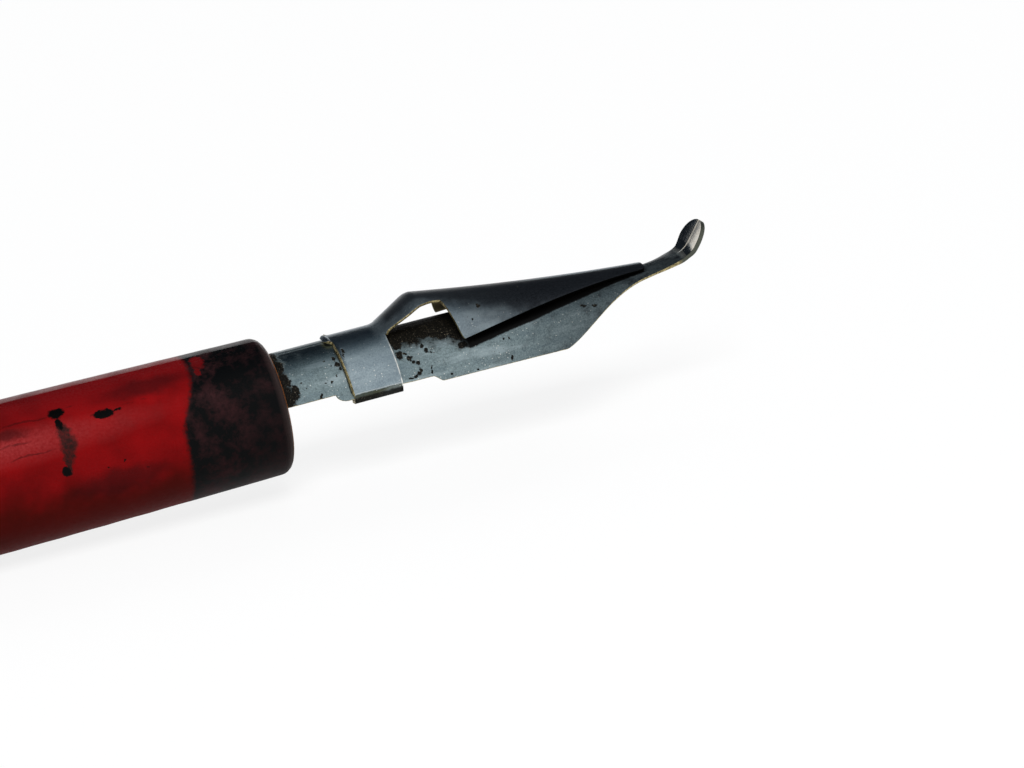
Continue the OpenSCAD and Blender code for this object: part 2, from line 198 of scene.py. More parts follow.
shade = ramp_of(tree, share, [
    (0, "#ffffff"), (0.03, "#5a6672"), (0.065, "#1a2028"), (0.45, "#252c35"),
    (0.62, "#59636b"), (0.8, "#b4bbbf"), (1, "#ffffff")])
glow = add(tree, "Emission", {"Color": shade, "Strength": 1})
tree.links.new(glow.outputs[0], out.inputs["Surface"])
cloth_mesh.materials.append(felt)


# The handle is a turned and polished rod of red plastic, thickest a finger's width behind the
# nose. Years of dipping have dyed its nose black, and drops have dried on the side above it.
def skin(tree, colour_in, rough, bump_from, height, distance=0.00002, **more):
    """A principled shader whose fine relief comes from one height pattern."""
    relief = add(tree, "Bump", {"Height": bump_from, "Strength": height, "Distance": distance})
    inputs = {"Base Color": colour_in, "Roughness": rough, "Normal": relief, **more}
    return add(tree, "BsdfPrincipled", inputs)


def in_mm(tree):
    """Object coordinates in millimetres, so that pattern sizes read as real ones."""
    place = add(tree, "TexCoord")
    return add(tree, "VectorMath", {0: place.outputs["Object"], "Scale": 1000}, operation="SCALE")


def blend(tree, share, one, two):
    """Colour one where the share is 0 and colour two where it is 1; hex codes or sockets."""
    pair = [colour(c) if isinstance(c, str) else c for c in (one, two)]
    return add(tree, "MixRGB", {"Fac": share, "Color1": pair[0], "Color2": pair[1]})


def marks(tree, mm, spots):
    """How far a point is from the nearest mark: 1 on a mark's rim and less inside.
    Each mark is given by its middle and its half sizes."""
    nearest = None
    for middle, half_sizes in spots:
        inside = add(tree, "Mapping", {"Vector": mm, "Location": middle, "Scale": half_sizes},
                     vector_type="TEXTURE")
        off = add(tree, "VectorMath", {0: inside}, operation="LENGTH").outputs["Value"]
        if nearest is not None:
            off = add(tree, "Math", {0: nearest, 1: off}, operation="MINIMUM")
        nearest = off
    return nearest


def ragged(tree, distance, noise, raggedness, start, end):
    """A mask: 1 where the distance, pushed about by a noise, is below end, and 0 above start."""
    pushed = add(tree, "Math", {0: noise, 1: raggedness, 2: distance}, operation="MULTIPLY_ADD")
    start, end = start + raggedness / 2, end + raggedness / 2
    return add(tree, "MapRange", {"Value": pushed, 1: start, 2: end, 3: 0, 4: 1})


def wavy(tree, mm, scale, amount):
    """Millimetres pushed about by a noise, which makes the marks drawn in them uneven."""
    push = add(tree, "TexNoise", {"Vector": mm, "Scale": scale, "Detail": 4, "Roughness": 0.6})
    centred = add(tree, "VectorMath", {0: push.outputs["Color"], 1: (0.5,) * 3},
                  operation="SUBTRACT")
    return add(tree, "VectorMath", {0: centred, 1: (amount,) * 3, 2: mm}, operation="MULTIPLY_ADD")


plastic = bpy.data.materials.new("polished_red_plastic")
tree, out = bare(plastic)
mm = in_mm(tree)
place = add(tree, "SeparateXYZ", {0: mm})
cloud = add(tree, "TexNoise", {"Vector": mm, "Scale": 0.3, "Detail": 5})
fine = add(tree, "TexNoise", {"Vector": mm, "Scale": 3, "Detail": 5, "Roughness": 0.65})
clouded = add(tree, "MapRange", {"Value": cloud, 1: 0.35, 2: 0.65, 3: 0, 4: 1})
red = blend(tree, clouded, "#6e0709", "#8c0b0e")
grime = add(tree, "MapRange", {"Value": fine, 1: 0.6, 2: 0.78, 3: 0, 4: 0.3})
red = blend(tree, grime, red, "#3d0b0d")
# A paler red patch on the upper near side is a painted sheen.
painted_sheen = marks(tree, mm, [((133, -4.5, 3.7), (15, 1.6, 1.8)), ((118, -4.5, 3.9), (16, 2.2, 2.4))])
grain = add(tree, "TexNoise", {"Vector": mm, "Scale": 5, "Detail": 3})
painted_sheen = ragged(tree, painted_sheen, cloud, 0.6, 1.1, 0.1)
patchy = add(tree, "MapRange", {"Value": grain, 1: 0.3, 2: 0.7, 3: 0.3, 4: 0.8})
painted_sheen = add(tree, "Math", {0: painted_sheen, 1: patchy}, operation="MULTIPLY")
red = blend(tree, painted_sheen, red, "#a8393a")
# Darker towards the underside: grime and painted shade.
lower = add(tree, "Math", {0: cloud, 1: 5, 2: place.outputs["Z"]}, operation="MULTIPLY_ADD")
grime_and_shade = add(tree, "MapRange", {"Value": lower, 1: 3.0, 2: 0.2, 3: 0, 4: 0.75},
            interpolation_type="SMOOTHSTEP")
red = blend(tree, grime_and_shade, red, "#450f08")
smudges = marks(tree, wavy(tree, mm, 0.5, 1.6), [
    ((143.2, -5.8, -0.7), (4.4, 2, 1.3)), ((147.5, -2.6, 5.3), (3.4, 1.3, 0.8)),
    ((135.2, -3.9, 4.6), (2.6, 0.7, 0.45))])
smudges = add(tree, "MapRange", {"Value": smudges, 1: 1.25, 2: 0.4, 3: 0, 4: 0.6},
              interpolation_type="SMOOTHSTEP")
red = blend(tree, smudges, red, "#2a0b0c")
# Darker towards the top as well: grime and painted shade.
top = add(tree, "MapRange", {"Value": place.outputs["Z"], 1: 4.4, 2: 6.0, 3: 0, 4: 0.6})
red = blend(tree, top, red, "#3a0d10")
# The dye's edge lies 2 mm nearer the tail on the lower side, and the dye thins out in clouds.
broad = add(tree, "TexNoise", {"Vector": mm, "Scale": 0.55, "Detail": 5, "Roughness": 0.6})
ahead = add(tree, "Math", {0: fine, 1: 0.7, 2: place.outputs["X"]}, operation="MULTIPLY_ADD")
down = add(tree, "MapRange", {"Value": place.outputs["Z"], 1: 5.8, 2: 1.5, 3: 0, 4: 1.9},
           interpolation_type="SMOOTHSTEP")
ahead = add(tree, "Math", {0: ahead, 1: down}, operation="ADD")
dyed = add(tree, "MapRange", {"Value": ahead, 1: 151.25, 2: 151.8, 3: 0, 4: 1},
           interpolation_type="SMOOTHSTEP")
uneven = wavy(tree, mm, 1.6, 0.9)
bare_spot = marks(tree, uneven, [
    ((152.15, -1.1, 5.6), (0.55, 1.0, 1.2)), ((151.8, -2.2, 5.2), (0.2, 0.6, 0.5))])
bare_spot = add(tree, "MapRange", {"Value": bare_spot, 1: 1.1, 2: 0.75, 3: 0, 4: 0.75})
kept_dye = add(tree, "Math", {0: 1, 1: bare_spot}, operation="SUBTRACT")
dyed = add(tree, "Math", {0: dyed, 1: kept_dye}, operation="MULTIPLY")
# Dried drops, a smeared run and thin scratches full of ink.
drops = marks(tree, uneven, [
    ((140.0, -3.0, 5.1), (0.72, 0.6, 0.42)), ((139.9, -3.8, 4.5), (0.3, 0.6, 0.6)),
    ((139.45, -5.78, 1.2), (0.36, 0.4, 0.4)), ((143.5, -3.9, 4.4), (0.95, 0.45, 0.38)),
    ((144.7, -3.85, 4.45), (0.5, 0.3, 0.12)), ((144.2, -5.8, 0.85), (0.14, 0.3, 0.12)),
    ((142.9, -5.8, 0.7), (0.12, 0.3, 0.1)), ((145.8, -5.8, -0.2), (0.1, 0.3, 0.1))])
drops = add(tree, "MapRange", {"Value": drops, 1: 1.08, 2: 0.82, 3: 0, 4: 1})
smear = marks(tree, uneven, [
    ((140.1, -4.4, 3.9), (0.5, 0.7, 0.9)), ((140.2, -4.95, 3.2), (0.62, 0.7, 0.9)),
    ((140.0, -5.35, 2.5), (0.42, 0.7, 0.9)), ((139.8, -5.7, 1.7), (0.22, 0.5, 0.6))])
smear = add(tree, "MapRange", {"Value": smear, 1: 1.3, 2: 0.8, 3: 0, 4: 0.95})
haze = add(tree, "MapRange", {"Value": fine, 1: 0.42, 2: 0.62, 3: 1, 4: 0.78})
smear = add(tree, "Math", {0: smear, 1: haze}, operation="MULTIPLY")
scratches = marks(tree, wavy(tree, mm, 0.5, 0.8), [
    ((137.5, -3.1, 5.05), (2.6, 0.1, 0.3)), ((141.2, -2.6, 5.3), (0.9, 0.08, 0.3)),
    ((136.9, -5.1, 3.0), (2.4, 0.3, 0.08)), ((135.4, -4.4, 3.9), (3.2, 0.2, 0.12)),
    ((146.5, -3.6, 4.7), (1.6, 0.09, 0.2))])
scratches = ragged(tree, scratches, fine, 0.9, 1.0, 0.5)
scratches = add(tree, "Math", {0: scratches, 1: 0.5}, operation="MULTIPLY")
thin = add(tree, "Math", {0: fine, 1: 0.35, 2: broad}, operation="MULTIPLY_ADD")
thin = add(tree, "MapRange", {"Value": thin, 1: 0.6, 2: 0.92, 3: 0, 4: 0.9})
far = add(tree, "MapRange", {"Value": place.outputs["X"], 1: 153.2, 2: 155.6, 3: 1, 4: 0.45})
thin = add(tree, "Math", {0: thin, 1: far}, operation="MULTIPLY")
ink = blend(tree, thin, "#08090a", "#3c2022")
# A lighter band round the nose's rounded edge is a painted highlight.
nose_rim_highlight = add(tree, "MapRange", {"Value": place.outputs["X"], 1: 157.1, 2: 157.6, 3: 0, 4: 0.5})
ink = blend(tree, nose_rim_highlight, ink, "#4a3a38")
end = add(tree, "MapRange", {"Value": place.outputs["X"], 1: 157.8, 2: 157.95, 3: 0, 4: 0.8})
ink = blend(tree, end, ink, "#a8622a")
body = blend(tree, dyed, red, ink)
body = blend(tree, smear, body, "#1d1816")
body = blend(tree, drops, body, "#050505")
body = blend(tree, scratches, body, "#23090a")
rough = add(tree, "MapRange", {"Value": fine, 1: 0.3, 2: 0.75, 3: 0.22, 4: 0.36})
rough = add(tree, "Math", {0: grime_and_shade, 1: 0.4, 2: rough}, operation="MULTIPLY_ADD")
shader = skin(tree, body, rough, fine, 0.15, **{"Specular IOR Level": 0.05})
tree.links.new(shader.outputs[0], out.inputs["Surface"])
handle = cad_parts["handle"]
handle.data.materials.clear()
handle.data.materials.append(plastic)


# The socket is a thin drawn steel tube pressed into the handle's bore, just short of its mouth.
# Inside it a pressed steel spring opens four leaves against the inside of the nib's shank.
drawn_steel = bpy.data.materials.new("drawn_steel_tube")
tree, out = bare(drawn_steel)
mm = in_mm(tree)
streaks = add(tree, "Mapping", {"Vector": mm, "Scale": (0.3, 6, 6)})
lines = add(tree, "TexNoise", {"Vector": streaks, "Scale": 1, "Detail": 3})
tone = blend(tree, lines, "#5d5b56", "#8d8b86")
dull = add(tree, "MapRange", {"Value": lines, 1: 0.3, 2: 0.7, 3: 0.32, 4: 0.5})
shader = skin(tree, tone, dull, lines, 0.2, Metallic=1)
tree.links.new(shader.outputs[0], out.inputs["Surface"])
for name in ("socket_sleeve", "grip_spring"):
    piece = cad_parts[name]
    piece.data.materials.clear()
    piece.data.materials.append(drawn_steel)


# The nib is one sheet of steel 0.25 mm thick, bent into a half round shank and body whose
# flanks sweep in to a narrow neck. The neck bends up and ends in a thick round disc, slit in two.
shank_r, nib_t, shank_in, corner_r = 4.05, 0.25, 8.2, 1.4
shank_half, front_half, flank_half = radians(77.5), radians(79.5), radians(87.5)
bump_drop, bump_len, bump_round, clasp_at, clasp_end, seat_gap = 0.7, 1.4, 1.05, 5.6, 9.7, 0.02
body_at, flank_from, flank_to, taper_at = clasp_at + 0.4, 12.3, 13.2, 23.8
neck_at, neck_r, neck_half, side_sweep, bend_sweep = 33.4, 2.2, 1.45, (1.3, 1.95), (1.4, 1.2)
disc_r, disc_t, disc_fillet, dish_r, slit_w, slit_at = 3.65 / 2, 0.36, 0.1, 14, 0.1, 20
body_drop, drop_end, ridge_dip = 0.4, 10.9, 0.2
rise_at, rise_r, neck_rise = 32, 8, radians(5.5)
flatten_at, bend_at, bend_r, disc_tilt = 32.6, 35.2, 2, radians(53)
rise_end = rise_at + rise_r * neck_rise
bend_end = bend_at + bend_r * (disc_tilt - neck_rise)
disc_mid = bend_end + 0.25


def mix(a, b, u):
    return a + (b - a) * u


def part_of(s, start, end):
    return min(1, max(0, (s - start) / (end - start)))


def ease(u):
    v = min(1, max(0, u))
    return v * v * (3 - 2 * v)


def sweep(u, power, fullness):
    return (1 - u ** power) ** fullness


def nib_path(s):
    """The ridge seen from the side: place along the pen, height and tilt."""
    a = neck_rise * part_of(s, rise_at, rise_end)
    b = mix(neck_rise, disc_tilt, part_of(s, bend_at, bend_end))
    level, along, ahead = min(s, rise_at), max(0, min(s, bend_at) - rise_end), max(0, s - bend_end)
    x = (level + rise_r * sin(a) + along * cos(neck_rise)
         + bend_r * (sin(b) - sin(neck_rise)) + ahead * cos(disc_tilt))
    top = (shank_r - body_drop * ease(part_of(level, clasp_at, drop_end))
           - ridge_dip * ease(part_of(level, drop_end, rise_at)))
    z = (top + rise_r * (1 - cos(a)) + along * sin(neck_rise)
         + bend_r * (cos(neck_rise) - cos(b)) + ahead * sin(disc_tilt))
    return x, z, a if s < bend_at else b


def nib_half(s):
    """Half the sheet's width, measured round the bend."""
    if s < body_at:
        edge = shank_r * cos(shank_half)
        into_corner = max(0, corner_r - (s + shank_in))
        lift = corner_r - sqrt(max(0, corner_r ** 2 - into_corner ** 2))
        past = s - (clasp_at - seat_gap - bump_len)
        drop = 0
        if 0 < past < bump_len:
            drop = bump_drop * sqrt(1 - max(0, 1 - past / bump_round) ** 2)
        return shank_r * acos((edge + lift - drop) / shank_r)
    bent = mix(mix(shank_half, front_half, ease(part_of(s, body_at, clasp_end))), flank_half,
               ease(part_of(s, flank_from, flank_to)))
    side = mix(neck_half, shank_r * bent, sweep(part_of(s, taper_at, neck_at), *side_sweep))
    off = s - disc_mid
    disc = sqrt(disc_r ** 2 - off ** 2) if abs(off) < disc_r else 0
    if off > 0:
        return disc
    gap = max(0, disc_fillet - abs(side - disc))
    return max(side, disc) + gap * gap / (4 * disc_fillet)


def nib_bend(s):
    """The radius that the sheet is bent to."""
    return mix(neck_r, shank_r, sweep(part_of(s, taper_at, neck_at), *bend_sweep))


def nib_station(s):
    """A section of the sheet: its place, tilt, half width, curvature and thickness."""
    x, z, tilt = nib_path(s)
    u = ease(part_of(s, flatten_at, disc_mid))
    return x, z, tilt, nib_half(s), mix(1 / nib_bend(s), -1 / dish_r, u), mix(nib_t, disc_t, u)


def ring(station, inner, across, soft=0.05):
    """One turn round half a section: outer face, rounded outer edge, inner face, inner edge."""
    x, z, tilt, half, bend, thick = station
    r = min(soft, thick / 2.2, max(0.001, (half - inner) / 2.2))
    turns = [(r * (1 - cos(a)), r * (1 - sin(a))) for a in (0, pi / 6, pi / 3, pi / 2)]
    path = [(mix(inner + r, half - r, i / across), 0) for i in range(across + 1)]
    path += [(half - inset, deep) for deep, inset in turns[1:]]
    path += [(half - inset, thick - deep) for deep, inset in turns[::-1]]
    path += [(mix(half - r, inner + r, i / across), thick) for i in range(1, across + 1)]
    path += [(inner + inset, thick - deep) for deep, inset in turns[1:]]
    path += [(inner + inset, deep) for deep, inset in turns[::-1][:-1]]
    points = []
    for u, d in path:
        if abs(bend) < 0.001:
            y, h = u, -d
        else:
            y = sin(u * bend) / bend - d * sin(u * bend)
            h = (cos(u * bend) - 1) / bend - d * cos(u * bend)
        points.append(Vector((x - h * sin(tilt), y, z + h * cos(tilt))))
    return points


def to_row(point):
    """From millimetres ahead of the nose face to the part's frame in metres."""
    return Vector((point.x / 1000 + nose.x, point.y / 1000, point.z / 1000))


def half_sheets(name, stations, inners, across=22, soft=0.05):
    """Joins the rings of both halves into one closed sheet; where inner is 0 the halves are one.
    The rounded outer edges take the second material slot."""
    shape, edge = bmesh.new(), range(across, across + 7)
    for side in (1, -1):
        rows = []
        for station, inner in zip(stations, inners):
            points = ring(station, inner, across, soft)
            rows.append([shape.verts.new(to_row(Vector((p.x, p.y * side, p.z)))) for p in points])
        count = len(rows[0])
        for one, two in zip(rows, rows[1:]):
            for k in range(count):
                face = shape.faces.new((one[k], one[(k + 1) % count], two[(k + 1) % count], two[k]))
                face.smooth = True
                face.material_index = 1 if k in edge else 0
        shape.faces.new(rows[0])
        shape.faces.new(rows[-1])
    bmesh.ops.recalc_face_normals(shape, faces=shape.faces)
    mesh = bpy.data.meshes.new(name)
    shape.to_mesh(mesh)
    shape.free()
    mesh.set_sharp_from_angle(angle=radians(40))
    piece = bpy.data.objects.new(name, mesh)
    scene.collection.objects.link(piece)
    return piece


def spread(start, end, count):
    """Evenly spaced places after the start, up to the end."""
    return [mix(start, end, i / count) for i in range(1, count + 1)]


# Stations lie close where the outline turns, and on both sides of the stop bump's sheer front.
bump_at, bump_end, beside = clasp_at - seat_gap - bump_len, clasp_at - seat_gap, 0.004
stops = [-shank_in] + [-shank_in + corner_r * (1 - cos(pi / 2 * i / 16)) for i in range(1, 17)]
stops += spread(stops[-1], bump_at - 0.005, 34)
stops += [bump_at + bump_round * (i / 18) ** 2 for i in range(19)]
stops += [bump_end - beside, bump_end + beside] + spread(bump_end + beside, flank_from, 40)
stops += spread(flank_from, flank_to, 16) + spread(flank_to, taper_at, 50)
stops += spread(taper_at, bend_at, 70)
tip = disc_mid + disc_r - 0.012
stops += [mix(bend_at, tip, 1 - (1 - i / 60) ** 2) for i in range(1, 61)]


def stained_steel(tree, mm, light, dark, film, crust, wet_ink_and_shadow, polish, caked):
    """Satin steel in two tones under a thin ink film, dry black crust and wet ink, each a mask.
    On the hood's crown the film is partly a painted dark reflection, and under the hood the wet
    ink is partly a painted shadow.
    Polish is the bare steel's roughness, and caked is the crust that stands up in flakes."""
    # Rolled and pressed sheet has a satin grain of 0.05 mm, drawn at 0.12 mm so that it shows.
    grain = add(tree, "TexNoise", {"Vector": mm, "Scale": 8, "Detail": 4, "Roughness": 0.7})
    # Rolling has drawn its clouds out along the pen to about 1 mm by 4 mm.
    rolled = add(tree, "Mapping", {"Vector": mm, "Scale": (0.25, 1, 1)})
    cloud = add(tree, "TexNoise", {"Vector": rolled, "Scale": 0.9, "Detail": 5, "Roughness": 0.6})
    grain_share = add(tree, "MapRange", {"Value": grain, 1: 0.35, 2: 0.65, 3: 0, 4: 1})
    steel = blend(tree, grain_share, dark, light)
    patch = add(tree, "MapRange", {"Value": cloud, 1: 0.5, 2: 0.7, 3: 0, 4: 0.45})
    steel = blend(tree, patch, steel, "#566874")
    gleam = add(tree, "MapRange", {"Value": cloud, 1: 0.47, 2: 0.33, 3: 0, 4: 0.45})
    steel = blend(tree, gleam, steel, "#b0bfc4")
    # Pits and bright grains, each about 0.1 mm wide.
    pits_and_grains = ((2.6, 0.7, 0.12, "#2b2823"), (5.5, 0.86, 0.3, "#e6e8e2"))
    for scale, from_share, width, tone in pits_and_grains:
        cells = add(tree, "TexVoronoi", {"Vector": mm, "Scale": scale, "Randomness": 1})
        off = cells.outputs["Distance"]
        spot = add(tree, "MapRange", {"Value": off, 1: width * 0.5, 2: width, 3: 1, 4: 0})
        draw = add(tree, "SeparateColor", {"Color": cells.outputs["Color"]}).outputs["Red"]
        rare = add(tree, "MapRange", {"Value": draw, 1: from_share, 2: from_share + 0.02,
                                      3: 0, 4: 0.8})
        spot = add(tree, "Math", {0: spot, 1: rare}, operation="MULTIPLY")
        steel = blend(tree, spot, steel, tone)
    # The film is ink, and on the hood's crown partly a painted dark reflection.
    inked = blend(tree, film, steel, blend(tree, grain_share, "#101216", "#24272c"))
    flake = add(tree, "MapRange", {"Value": grain, 1: 0.46, 2: 0.7, 3: 0, 4: 1})
    dry = blend(tree, flake, "#0a0a09", "#2b2821")
    chip = add(tree, "MapRange", {"Value": grain, 1: 0.62, 2: 0.7, 3: 0, 4: 0.8})
    dry = blend(tree, chip, dry, "#8d8474")
    # Wet ink and the painted shadow under the hood are black.
    surface = blend(tree, wet_ink_and_shadow, blend(tree, crust, inked, dry), "#050505")
    covered = add(tree, "Math", {0: film, 1: 0.5}, operation="MULTIPLY")
    covered = add(tree, "Math", {0: covered, 1: crust}, operation="MAXIMUM")
    covered = add(tree, "Math", {0: covered, 1: wet_ink_and_shadow}, operation="MAXIMUM")
    metal = add(tree, "Math", {0: 1, 1: covered}, operation="SUBTRACT")
    rough = add(tree, "Math", {0: grain, 1: 1.25, 2: 1}, operation="MULTIPLY_ADD")
    rough = add(tree, "Math", {0: rough, 1: polish}, operation="MULTIPLY")
    rough = add(tree, "Math", {0: crust, 1: 0.2, 2: rough}, operation="MULTIPLY_ADD")
    flakes = add(tree, "Math", {0: grain, 1: 2.5}, operation="MULTIPLY")
    relief = add(tree, "Math", {0: caked, 1: flakes}, operation="MULTIPLY")
    relief = add(tree, "Math", {0: grain, 1: 0.5, 2: relief}, operation="MULTIPLY_ADD")
    return skin(tree, surface, rough, relief, 0.5, 0.00003, Metallic=metal,
                **{"Specular IOR Level": 0.08})


pressed_steel = bpy.data.materials.new("pressed_blue_grey_steel")
tree, out = bare(pressed_steel)
mm = in_mm(tree)
place = add(tree, "SeparateXYZ", {0: mm})
fine = add(tree, "TexNoise", {"Vector": mm, "Scale": 3.2, "Detail": 6, "Roughness": 0.65})
broad = add(tree, "TexNoise", {"Vector": mm, "Scale": 1.1, "Detail": 5, "Roughness": 0.6})
# Wet ink lies black under the hood's edge, with the hood's shadow painted into it, and ink has
# crusted on the ridge behind it, as far out as this line.
line_from, line_to, line_most = 166, 192, 4
x_share = add(tree, "MapRange", {"Value": place.outputs["X"], 1: line_from, 2: line_to, 3: 0, 4: 1})
ink_and_shadow_line = [(166, 2.2), (168, 2.45), (170, 2.65), (172.4, 3.0), (173.9, 3.4), (175.3, 3.29),
            (178.4, 2.93), (179.9, 2.78), (182.3, 2.36), (184.3, 2.0), (186.1, 1.6), (188, 1.2),
            (189.9, 0.92), (192, 0.6)]
ink_and_shadow_stops = [(part_of(x, line_from, line_to), y / line_most) for x, y in ink_and_shadow_line]
ink_and_shadow_edge = ramp_of(tree, x_share, ink_and_shadow_stops)
side = add(tree, "Math", {0: place.outputs["Y"]}, operation="ABSOLUTE")
past_line = add(tree, "Math", {0: ink_and_shadow_edge, 1: -line_most, 2: side}, operation="MULTIPLY_ADD")
ink_and_shadow_band = ragged(tree, past_line, fine, 0.16, 0.1, 0.02)
ahead = add(tree, "MapRange", {"Value": place.outputs["X"], 1: 173.2, 2: 173.9, 3: 0, 4: 1})
behind_end = add(tree, "MapRange", {"Value": place.outputs["X"], 1: 190.7, 2: 190.2, 3: 0, 4: 1})
wet_ink_and_shadow = add(tree, "Math", {0: ahead, 1: behind_end}, operation="MULTIPLY")
wet_ink_and_shadow = add(tree, "Math", {0: wet_ink_and_shadow, 1: ink_and_shadow_band}, operation="MULTIPLY")
crust_line = ragged(tree, past_line, broad, 2.2, 0.2, -0.5)
past_clasp = add(tree, "MapRange", {"Value": place.outputs["X"], 1: 166.9, 2: 167.4, 3: 0, 4: 1})
before_wing = add(tree, "MapRange", {"Value": place.outputs["X"], 1: 174.4, 2: 173.6, 3: 0, 4: 1})
crust = add(tree, "Math", {0: past_clasp, 1: before_wing}, operation="MULTIPLY")
crust = add(tree, "Math", {0: crust, 1: crust_line}, operation="MULTIPLY")
# A ring of dried ink round the shank at the handle's mouth, and separate blots, streaks and specks.
foot = add(tree, "Math", {0: place.outputs["X"], 1: 158.05}, operation="SUBTRACT")
foot = add(tree, "Math", {0: foot}, operation="ABSOLUTE")
foot = add(tree, "Math", {0: foot, 1: 0.8}, operation="SUBTRACT")
foot = ragged(tree, foot, broad, 2.0, 0.2, -0.15)
uneven = wavy(tree, mm, 2.2, 0.55)
blots = marks(tree, uneven, [
    ((159.0, -3.6, 1.9), (0.42, 0.6, 0.75)), ((158.55, -2.9, 2.8), (0.4, 0.7, 0.7)),
    ((162.85, -2.25, 3.35), (0.2, 0.3, 0.22)), ((162.97, -2.7, 3.0), (0.27, 0.3, 0.26)),
    ((163.1, -3.05, 2.7), (0.14, 0.3, 0.2)), ((162.5, -2.75, 2.98), (0.1, 0.3, 0.07)),
    ((162.06, -2.28, 3.35), (0.08, 0.2, 0.09)), ((161.64, -3.53, 1.99), (0.15, 0.3, 0.06)),
    ((162.66, -3.33, 2.3), (0.1, 0.3, 0.09)), ((162.18, -3.55, 1.94), (0.1, 0.3, 0.07)),
    ((159.62, -3.25, 2.4), (0.1, 0.2, 0.07)), ((160.02, -3.55, 1.94), (0.08, 0.3, 0.1)),
    ((161.0, -3.9, 1.1), (0.14, 0.3, 0.25)), ((168.2, -2.0, 3.1), (0.5, 0.8, 0.5)),
    ((168.1, -2.9, 2.4), (0.35, 0.5, 0.5)), ((170.15, -2.68, 2.65), (0.2, 0.3, 0.22)),
    ((170.4, -3.0, 2.3), (0.2, 0.3, 0.24)), ((170.65, -3.2, 2.1), (0.22, 0.2, 0.1)),
    ((170.9, -3.25, 2.0), (0.16, 0.2, 0.08)), ((168.55, -2.9, 2.44), (0.2, 0.3, 0.12)),
    ((168.85, -3.2, 2.1), (0.3, 0.3, 0.2)), ((169.1, -3.4, 1.8), (0.18, 0.3, 0.14)),
    ((169.38, -3.5, 1.63), (0.12, 0.3, 0.2)), ((169.5, -3.75, 1.1), (0.15, 0.3, 0.3)),
    ((169.3, -3.87, 0.8), (0.22, 0.3, 0.2)), ((168.96, -3.88, 0.75), (0.25, 0.3, 0.14)),
    ((168.5, -3.9, 0.65), (0.3, 0.3, 0.12)), ((170.34, -3.77, 1.08), (0.1, 0.3, 0.15)),
    ((170.4, -3.9, 0.7), (0.1, 0.3, 0.25)), ((171.84, -4.02, 0.07), (0.12, 0.3, 0.12)),
    ((174.06, -4.03, -0.07), (0.1, 0.3, 0.1)), ((173.4, -3.2, 2.05), (0.5, 0.4, 0.35)),
    ((177.06, -4.0, 0.15), (0.17, 0.3, 0.2)), ((177.24, -3.46, 1.64), (0.1, 0.2, 0.1)),
    ((176.82, -3.43, 1.7), (0.12, 0.2, 0.08)), ((184.14, -2.62, 2.42), (0.3, 0.2, 0.1)),
    ((184.98, -2.73, 2.22), (0.28, 0.2, 0.12))])
blots = ragged(tree, blots, fine, 1.3, 1.0, 0.75)
caked = add(tree, "Math", {0: crust, 1: foot}, operation="MAXIMUM")
crust = add(tree, "Math", {0: caked, 1: blots}, operation="MAXIMUM")
film = add(tree, "MapRange", {"Value": broad, 1: 0.5, 2: 0.7, 3: 0, 4: 0.2})
film_line = [(166, 0), (174, 0.06), (178, 0.2), (181, 0.42), (185, 0.62), (189, 0.75), (192, 0.85)]
toward_neck = ramp_of(tree, x_share, [(part_of(x, line_from, line_to), v) for x, v in film_line])
film = add(tree, "Math", {0: film, 1: toward_neck}, operation="ADD", use_clamp=True)
worn = add(tree, "MapRange", {"Value": place.outputs["X"], 1: 193.4, 2: 194.0, 3: 0, 4: 1})
film = add(tree, "Math", {0: film, 1: worn}, operation="SUBTRACT", use_clamp=True)
# Paper has polished the disc, and the rest of the sheet is satin.
polish = add(tree, "MapRange", {"Value": worn, 3: 0.2, 4: 0.06})
light, dark = blend(tree, worn, "#8b9c9f", "#d6cfc2"), blend(tree, worn, "#647377", "#c4bdb0")
shader = stained_steel(tree, mm, light, dark, film, crust, wet_ink_and_shadow, polish, caked)
tree.links.new(shader.outputs[0], out.inputs["Surface"])


# The cut edges of both sheets have gone the colour of old brass with dried ink and rust. The nib's
# has worn grey round the disc, and the hood's is black with wet ink and painted shade.
def cut_edge(name, from_x, tone_ahead):
    """Brassy brown edge metal, which takes another tone ahead of a place along the pen."""
    made = bpy.data.materials.new(name)
    tree, out = bare(made)
    mm = in_mm(tree)
    grain = add(tree, "TexNoise", {"Vector": mm, "Scale": 6, "Detail": 4})
    share = add(tree, "MapRange", {"Value": grain, 1: 0.35, 2: 0.65, 3: 0, 4: 1})
    place = add(tree, "SeparateXYZ", {0: mm})
    ahead = add(tree, "MapRange", {"Value": place.outputs["X"], 1: from_x, 2: from_x + 0.4,
                                   3: 0, 4: 1})
    tone = blend(tree, ahead, blend(tree, share, "#54482c", "#c9bb8a"), tone_ahead)
    shader = skin(tree, tone, 0.42, grain, 0.2, Metallic=0.85, **{"Specular IOR Level": 0.1})
    tree.links.new(shader.outputs[0], out.inputs["Surface"])
    return made


slit = [0.0 if s <= slit_at else slit_w / 2 for s in stops]
nib = half_sheets("nib_sheet", [nib_station(s) for s in stops], slit)
nib.data.materials.append(pressed_steel)
nib.data.materials.append(cut_edge("worn_cut_edge", 193.1, "#55584f"))
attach(nib, "writing_end")
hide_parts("nib")


